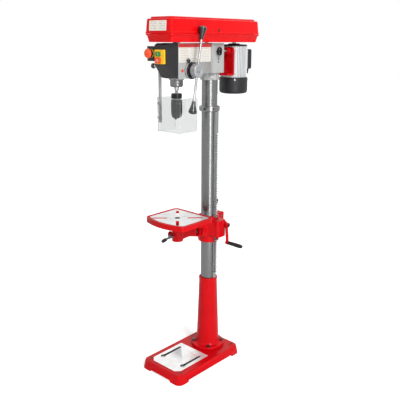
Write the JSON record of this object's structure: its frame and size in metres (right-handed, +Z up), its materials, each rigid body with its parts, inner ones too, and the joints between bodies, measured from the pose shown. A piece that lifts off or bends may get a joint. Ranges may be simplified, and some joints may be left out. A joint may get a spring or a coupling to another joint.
{
  "type": "floor drill press",
  "caption": "Floor-standing drill press: cast base, round column with rack, tilting slotted table, belt-driven quill head with hinged cover, clear chuck guard and rear motor",
  "frame": {"origin": "middle of the bounding box, on the floor under the machine", "axes": "+Z up along the column, -Y towards the operator at the front, +X towards the feed handle's side"},
  "size_m": [0.324, 0.593, 1.624],
  "materials": {
    "red_paint": "gloss enamel on cast iron and sheet steel",
    "grey_paint": "light grey enamel on cast iron",
    "steel": "turned or ground",
    "dark_steel": "oiled, blackened",
    "chrome": "polished",
    "aluminium": "as cast",
    "black_plastic": "fine moulded texture",
    "gloss_black": "polished",
    "rubber": "matt",
    "yellow_plastic": "satin",
    "red_plastic": "satin",
    "green_plastic": "satin",
    "clear_guard": "clear moulded polycarbonate"
  },
  "bodies": {
    "stand": {"base_casting": "red_paint", "column_foot": "red_paint", "column_tube": "steel", "rack_collar": "steel", "head_casting": "grey_paint", "front_shroud": "black_plastic", "switch_body": "black_plastic", "switch_plate": "yellow_plastic", "estop_collar": "yellow_plastic", "guard_bracket": "black_plastic", "pulley_tray": "red_paint", "spindle_belt": "rubber", "motor_belt": "rubber", "spring_housing": "black_plastic", "return_spring": "dark_steel"},
    "rack_body": {"rack": "dark_steel"},
    "bracket": {"table_bracket": "red_paint", "tilt_bolt": "dark_steel"},
    "lifting_gear": {"lift_gear": "dark_steel"},
    "crank": {"crank_shaft": "dark_steel", "crank_arm": "red_paint"},
    "crank_handle": {"crank_grip": "black_plastic"},
    "column_lock": {"column_lock_lever": "black_plastic"},
    "tilting_arm": {"table_arm": "red_paint"},
    "table_lock": {"table_lock_lever": "black_plastic"},
    "table": {"work_table": "red_paint"},
    "feed_handle": {"feed_shaft": "aluminium", "feed_rod_upper": "chrome", "feed_rod_lower": "chrome", "feed_knob_upper": "gloss_black", "feed_knob_lower": "gloss_black"},
    "depth_stop": {"depth_ring": "black_plastic", "depth_lock_knob": "gloss_black"},
    "belt_lock": {"tension_lock": "black_plastic"},
    "quill_body": {"quill": "steel", "quill_collar": "dark_steel"},
    "spindle_body": {"spindle": "steel", "chuck_body": "dark_steel"},
    "sleeve": {"chuck_sleeve": "dark_steel"},
    "jaw_1": {"chuck_jaw_1": "steel"},
    "jaw_2": {"chuck_jaw_2": "steel"},
    "jaw_3": {"chuck_jaw_3": "steel"},
    "front_pulley": {"spindle_pulley": "aluminium"},
    "middle_pulley": {"idler_pulley": "aluminium"},
    "motor": {"slide_bar_left": "steel", "slide_bar_right": "steel", "motor_plate": "red_paint", "motor_body": "aluminium", "fan_cowl": "black_plastic", "motor_top_bell": "black_plastic", "terminal_box": "black_plastic"},
    "rotor": {"motor_rotor": "steel", "motor_pulley": "aluminium"},
    "lid": {"cover_lid": "red_paint"},
    "guard_rail": {"guard_arm": "steel"},
    "guard_screw": {"guard_knob": "gloss_black"},
    "shield": {"chuck_guard": "clear_guard"},
    "start": {"start_button": "green_plastic"},
    "stop": {"stop_button": "red_plastic"},
    "emergency_stop": {"estop_button": "red_plastic"}
  },
  "joints": [
    {"name": "rack_swing", "type": "hinge", "parent": "stand", "child": "rack_body", "pos_m": [-0.032, 0.0385, 0.7], "axis": [0, 0, 1], "range_deg": [-180, 180]},
    {"name": "table_lift", "type": "slide", "parent": "rack_body", "child": "bracket", "axis": [0, 0, 1], "range_m": [-0.18, 0.3]},
    {"name": "crank_turn", "type": "hinge", "parent": "bracket", "child": "crank", "pos_m": [0.06, 0.0565, 0.692], "axis": [1, 0, 0], "range_deg": [-10900, 15200]},
    {"name": "lift_gear_turn", "type": "hinge", "parent": "bracket", "child": "lifting_gear", "pos_m": [0.029, 0.0385, 0.665], "axis": [0, 1, 0], "range_deg": [-1120, 800]},
    {"name": "crank_grip_spin", "type": "hinge", "parent": "crank", "child": "crank_handle", "pos_m": [0.118, 0.0565, 0.605], "axis": [1, 0, 0], "continuous": true},
    {"name": "column_lock_turn", "type": "hinge", "parent": "bracket", "child": "column_lock", "pos_m": [-0.032, 0.1125, 0.708], "axis": [1, 0, 0], "range_deg": [-25, 25]},
    {"name": "table_tilt", "type": "hinge", "parent": "bracket", "child": "tilting_arm", "pos_m": [-0.032, -0.0295, 0.665], "axis": [0, 1, 0], "range_deg": [-45, 45]},
    {"name": "table_lock_turn", "type": "hinge", "parent": "tilting_arm", "child": "table_lock", "pos_m": [-0.032, -0.2155, 0.677], "axis": [0, 1, 0], "range_deg": [-30, 30]},
    {"name": "table_turn", "type": "hinge", "parent": "tilting_arm", "child": "table", "pos_m": [-0.032, -0.1721, 0.757], "axis": [0, 0, 1], "range_deg": [-180, 180]},
    {"name": "quill_travel", "type": "slide", "parent": "stand", "child": "quill_body", "axis": [0, 0, -1], "range_m": [0, 0.08], "stiffness_N_per_m": 320, "springref_m": -0.14},
    {"name": "feed_turn", "type": "hinge", "parent": "stand", "child": "feed_handle", "pos_m": [0.055, -0.1341, 1.408], "axis": [1, 0, 0], "range_deg": [0, 330]},
    {"name": "depth_ring_turn", "type": "hinge", "parent": "stand", "child": "depth_stop", "pos_m": [0.021, -0.1341, 1.408], "axis": [1, 0, 0], "range_deg": [-150, 150]},
    {"name": "belt_lock_turn", "type": "hinge", "parent": "stand", "child": "belt_lock", "pos_m": [0.03, 0.0335, 1.485], "axis": [1, 0, 0], "range_deg": [-60, 60]},
    {"name": "belt_tension", "type": "slide", "parent": "stand", "child": "motor", "axis": [0, -1, 0], "range_m": [0, 0.012], "deforming": ["motor_belt"]},
    {"name": "motor_turn", "type": "hinge", "parent": "motor", "child": "rotor", "pos_m": [-0.032, 0.2055, 1.4], "axis": [0, 0, 1], "continuous": true},
    {"name": "middle_pulley_turn", "type": "hinge", "parent": "stand", "child": "middle_pulley", "pos_m": [-0.032, 0.0165, 1.56], "axis": [0, 0, 1], "continuous": true},
    {"name": "front_pulley_turn", "type": "hinge", "parent": "stand", "child": "front_pulley", "pos_m": [-0.032, -0.1721, 1.56], "axis": [0, 0, 1], "continuous": true},
    {"name": "spindle_turn", "type": "hinge", "parent": "quill_body", "child": "spindle_body", "pos_m": [-0.032, -0.1721, 1.3], "axis": [0, 0, 1], "continuous": true},
    {"name": "chuck_sleeve_turn", "type": "hinge", "parent": "spindle_body", "child": "sleeve", "pos_m": [-0.032, -0.1721, 1.25], "axis": [0, 0, 1], "range_deg": [0, 1440]},
    {"name": "jaw_1_travel", "type": "slide", "parent": "spindle_body", "child": "jaw_1", "axis": [0, 0.1736, 0.9848], "range_m": [0, 0.015]},
    {"name": "jaw_2_travel", "type": "slide", "parent": "spindle_body", "child": "jaw_2", "axis": [-0.1504, -0.0868, 0.9848], "range_m": [0, 0.015]},
    {"name": "jaw_3_travel", "type": "slide", "parent": "spindle_body", "child": "jaw_3", "axis": [0.1504, -0.0868, 0.9848], "range_m": [0, 0.015]},
    {"name": "cover_open", "type": "hinge", "parent": "stand", "child": "lid", "pos_m": [-0.1125, 0.0085, 1.557], "axis": [0, -1, 0], "range_deg": [0, 100]},
    {"name": "guard_swing", "type": "hinge", "parent": "stand", "child": "guard_rail", "pos_m": [-0.092, -0.2115, 1.425], "axis": [1, 0, 0], "range_deg": [-90, 0]},
    {"name": "guard_height", "type": "slide", "parent": "guard_rail", "child": "shield", "axis": [0, 0, 1], "range_m": [0, 0.08]},
    {"name": "guard_knob_turn", "type": "hinge", "parent": "guard_rail", "child": "guard_screw", "pos_m": [-0.124, -0.2115, 1.425], "axis": [1, 0, 0], "range_deg": [-180, 180]},
    {"name": "start_press", "type": "slide", "parent": "stand", "child": "start", "axis": [0, 1, 0], "range_m": [0, 0.003], "stiffness_N_per_m": 600, "springref_m": -0.002},
    {"name": "stop_press", "type": "slide", "parent": "stand", "child": "stop", "axis": [0, 1, 0], "range_m": [0, 0.003], "stiffness_N_per_m": 600, "springref_m": -0.002},
    {"name": "emergency_stop_press", "type": "slide", "parent": "stand", "child": "emergency_stop", "axis": [0, 1, 0], "range_m": [0, 0.004]}
  ],
  "couplings": [
    {"joint": "crank_turn", "follows": "table_lift", "rad_per_m": 875},
    {"joint": "lift_gear_turn", "follows": "table_lift", "rad_per_m": -62.5},
    {"joint": "feed_turn", "follows": "quill_travel", "rad_per_m": 71.429},
    {"joint": "middle_pulley_turn", "follows": "motor_turn", "ratio": 0.95086},
    {"joint": "front_pulley_turn", "follows": "motor_turn", "ratio": 0.59941},
    {"joint": "spindle_turn", "follows": "motor_turn", "ratio": 0.59941},
    {"joint": "jaw_1_travel", "follows": "chuck_sleeve_turn", "m_per_rad": 0.00059683},
    {"joint": "jaw_2_travel", "follows": "chuck_sleeve_turn", "m_per_rad": 0.00059683},
    {"joint": "jaw_3_travel", "follows": "chuck_sleeve_turn", "m_per_rad": 0.00059683}
  ]
}
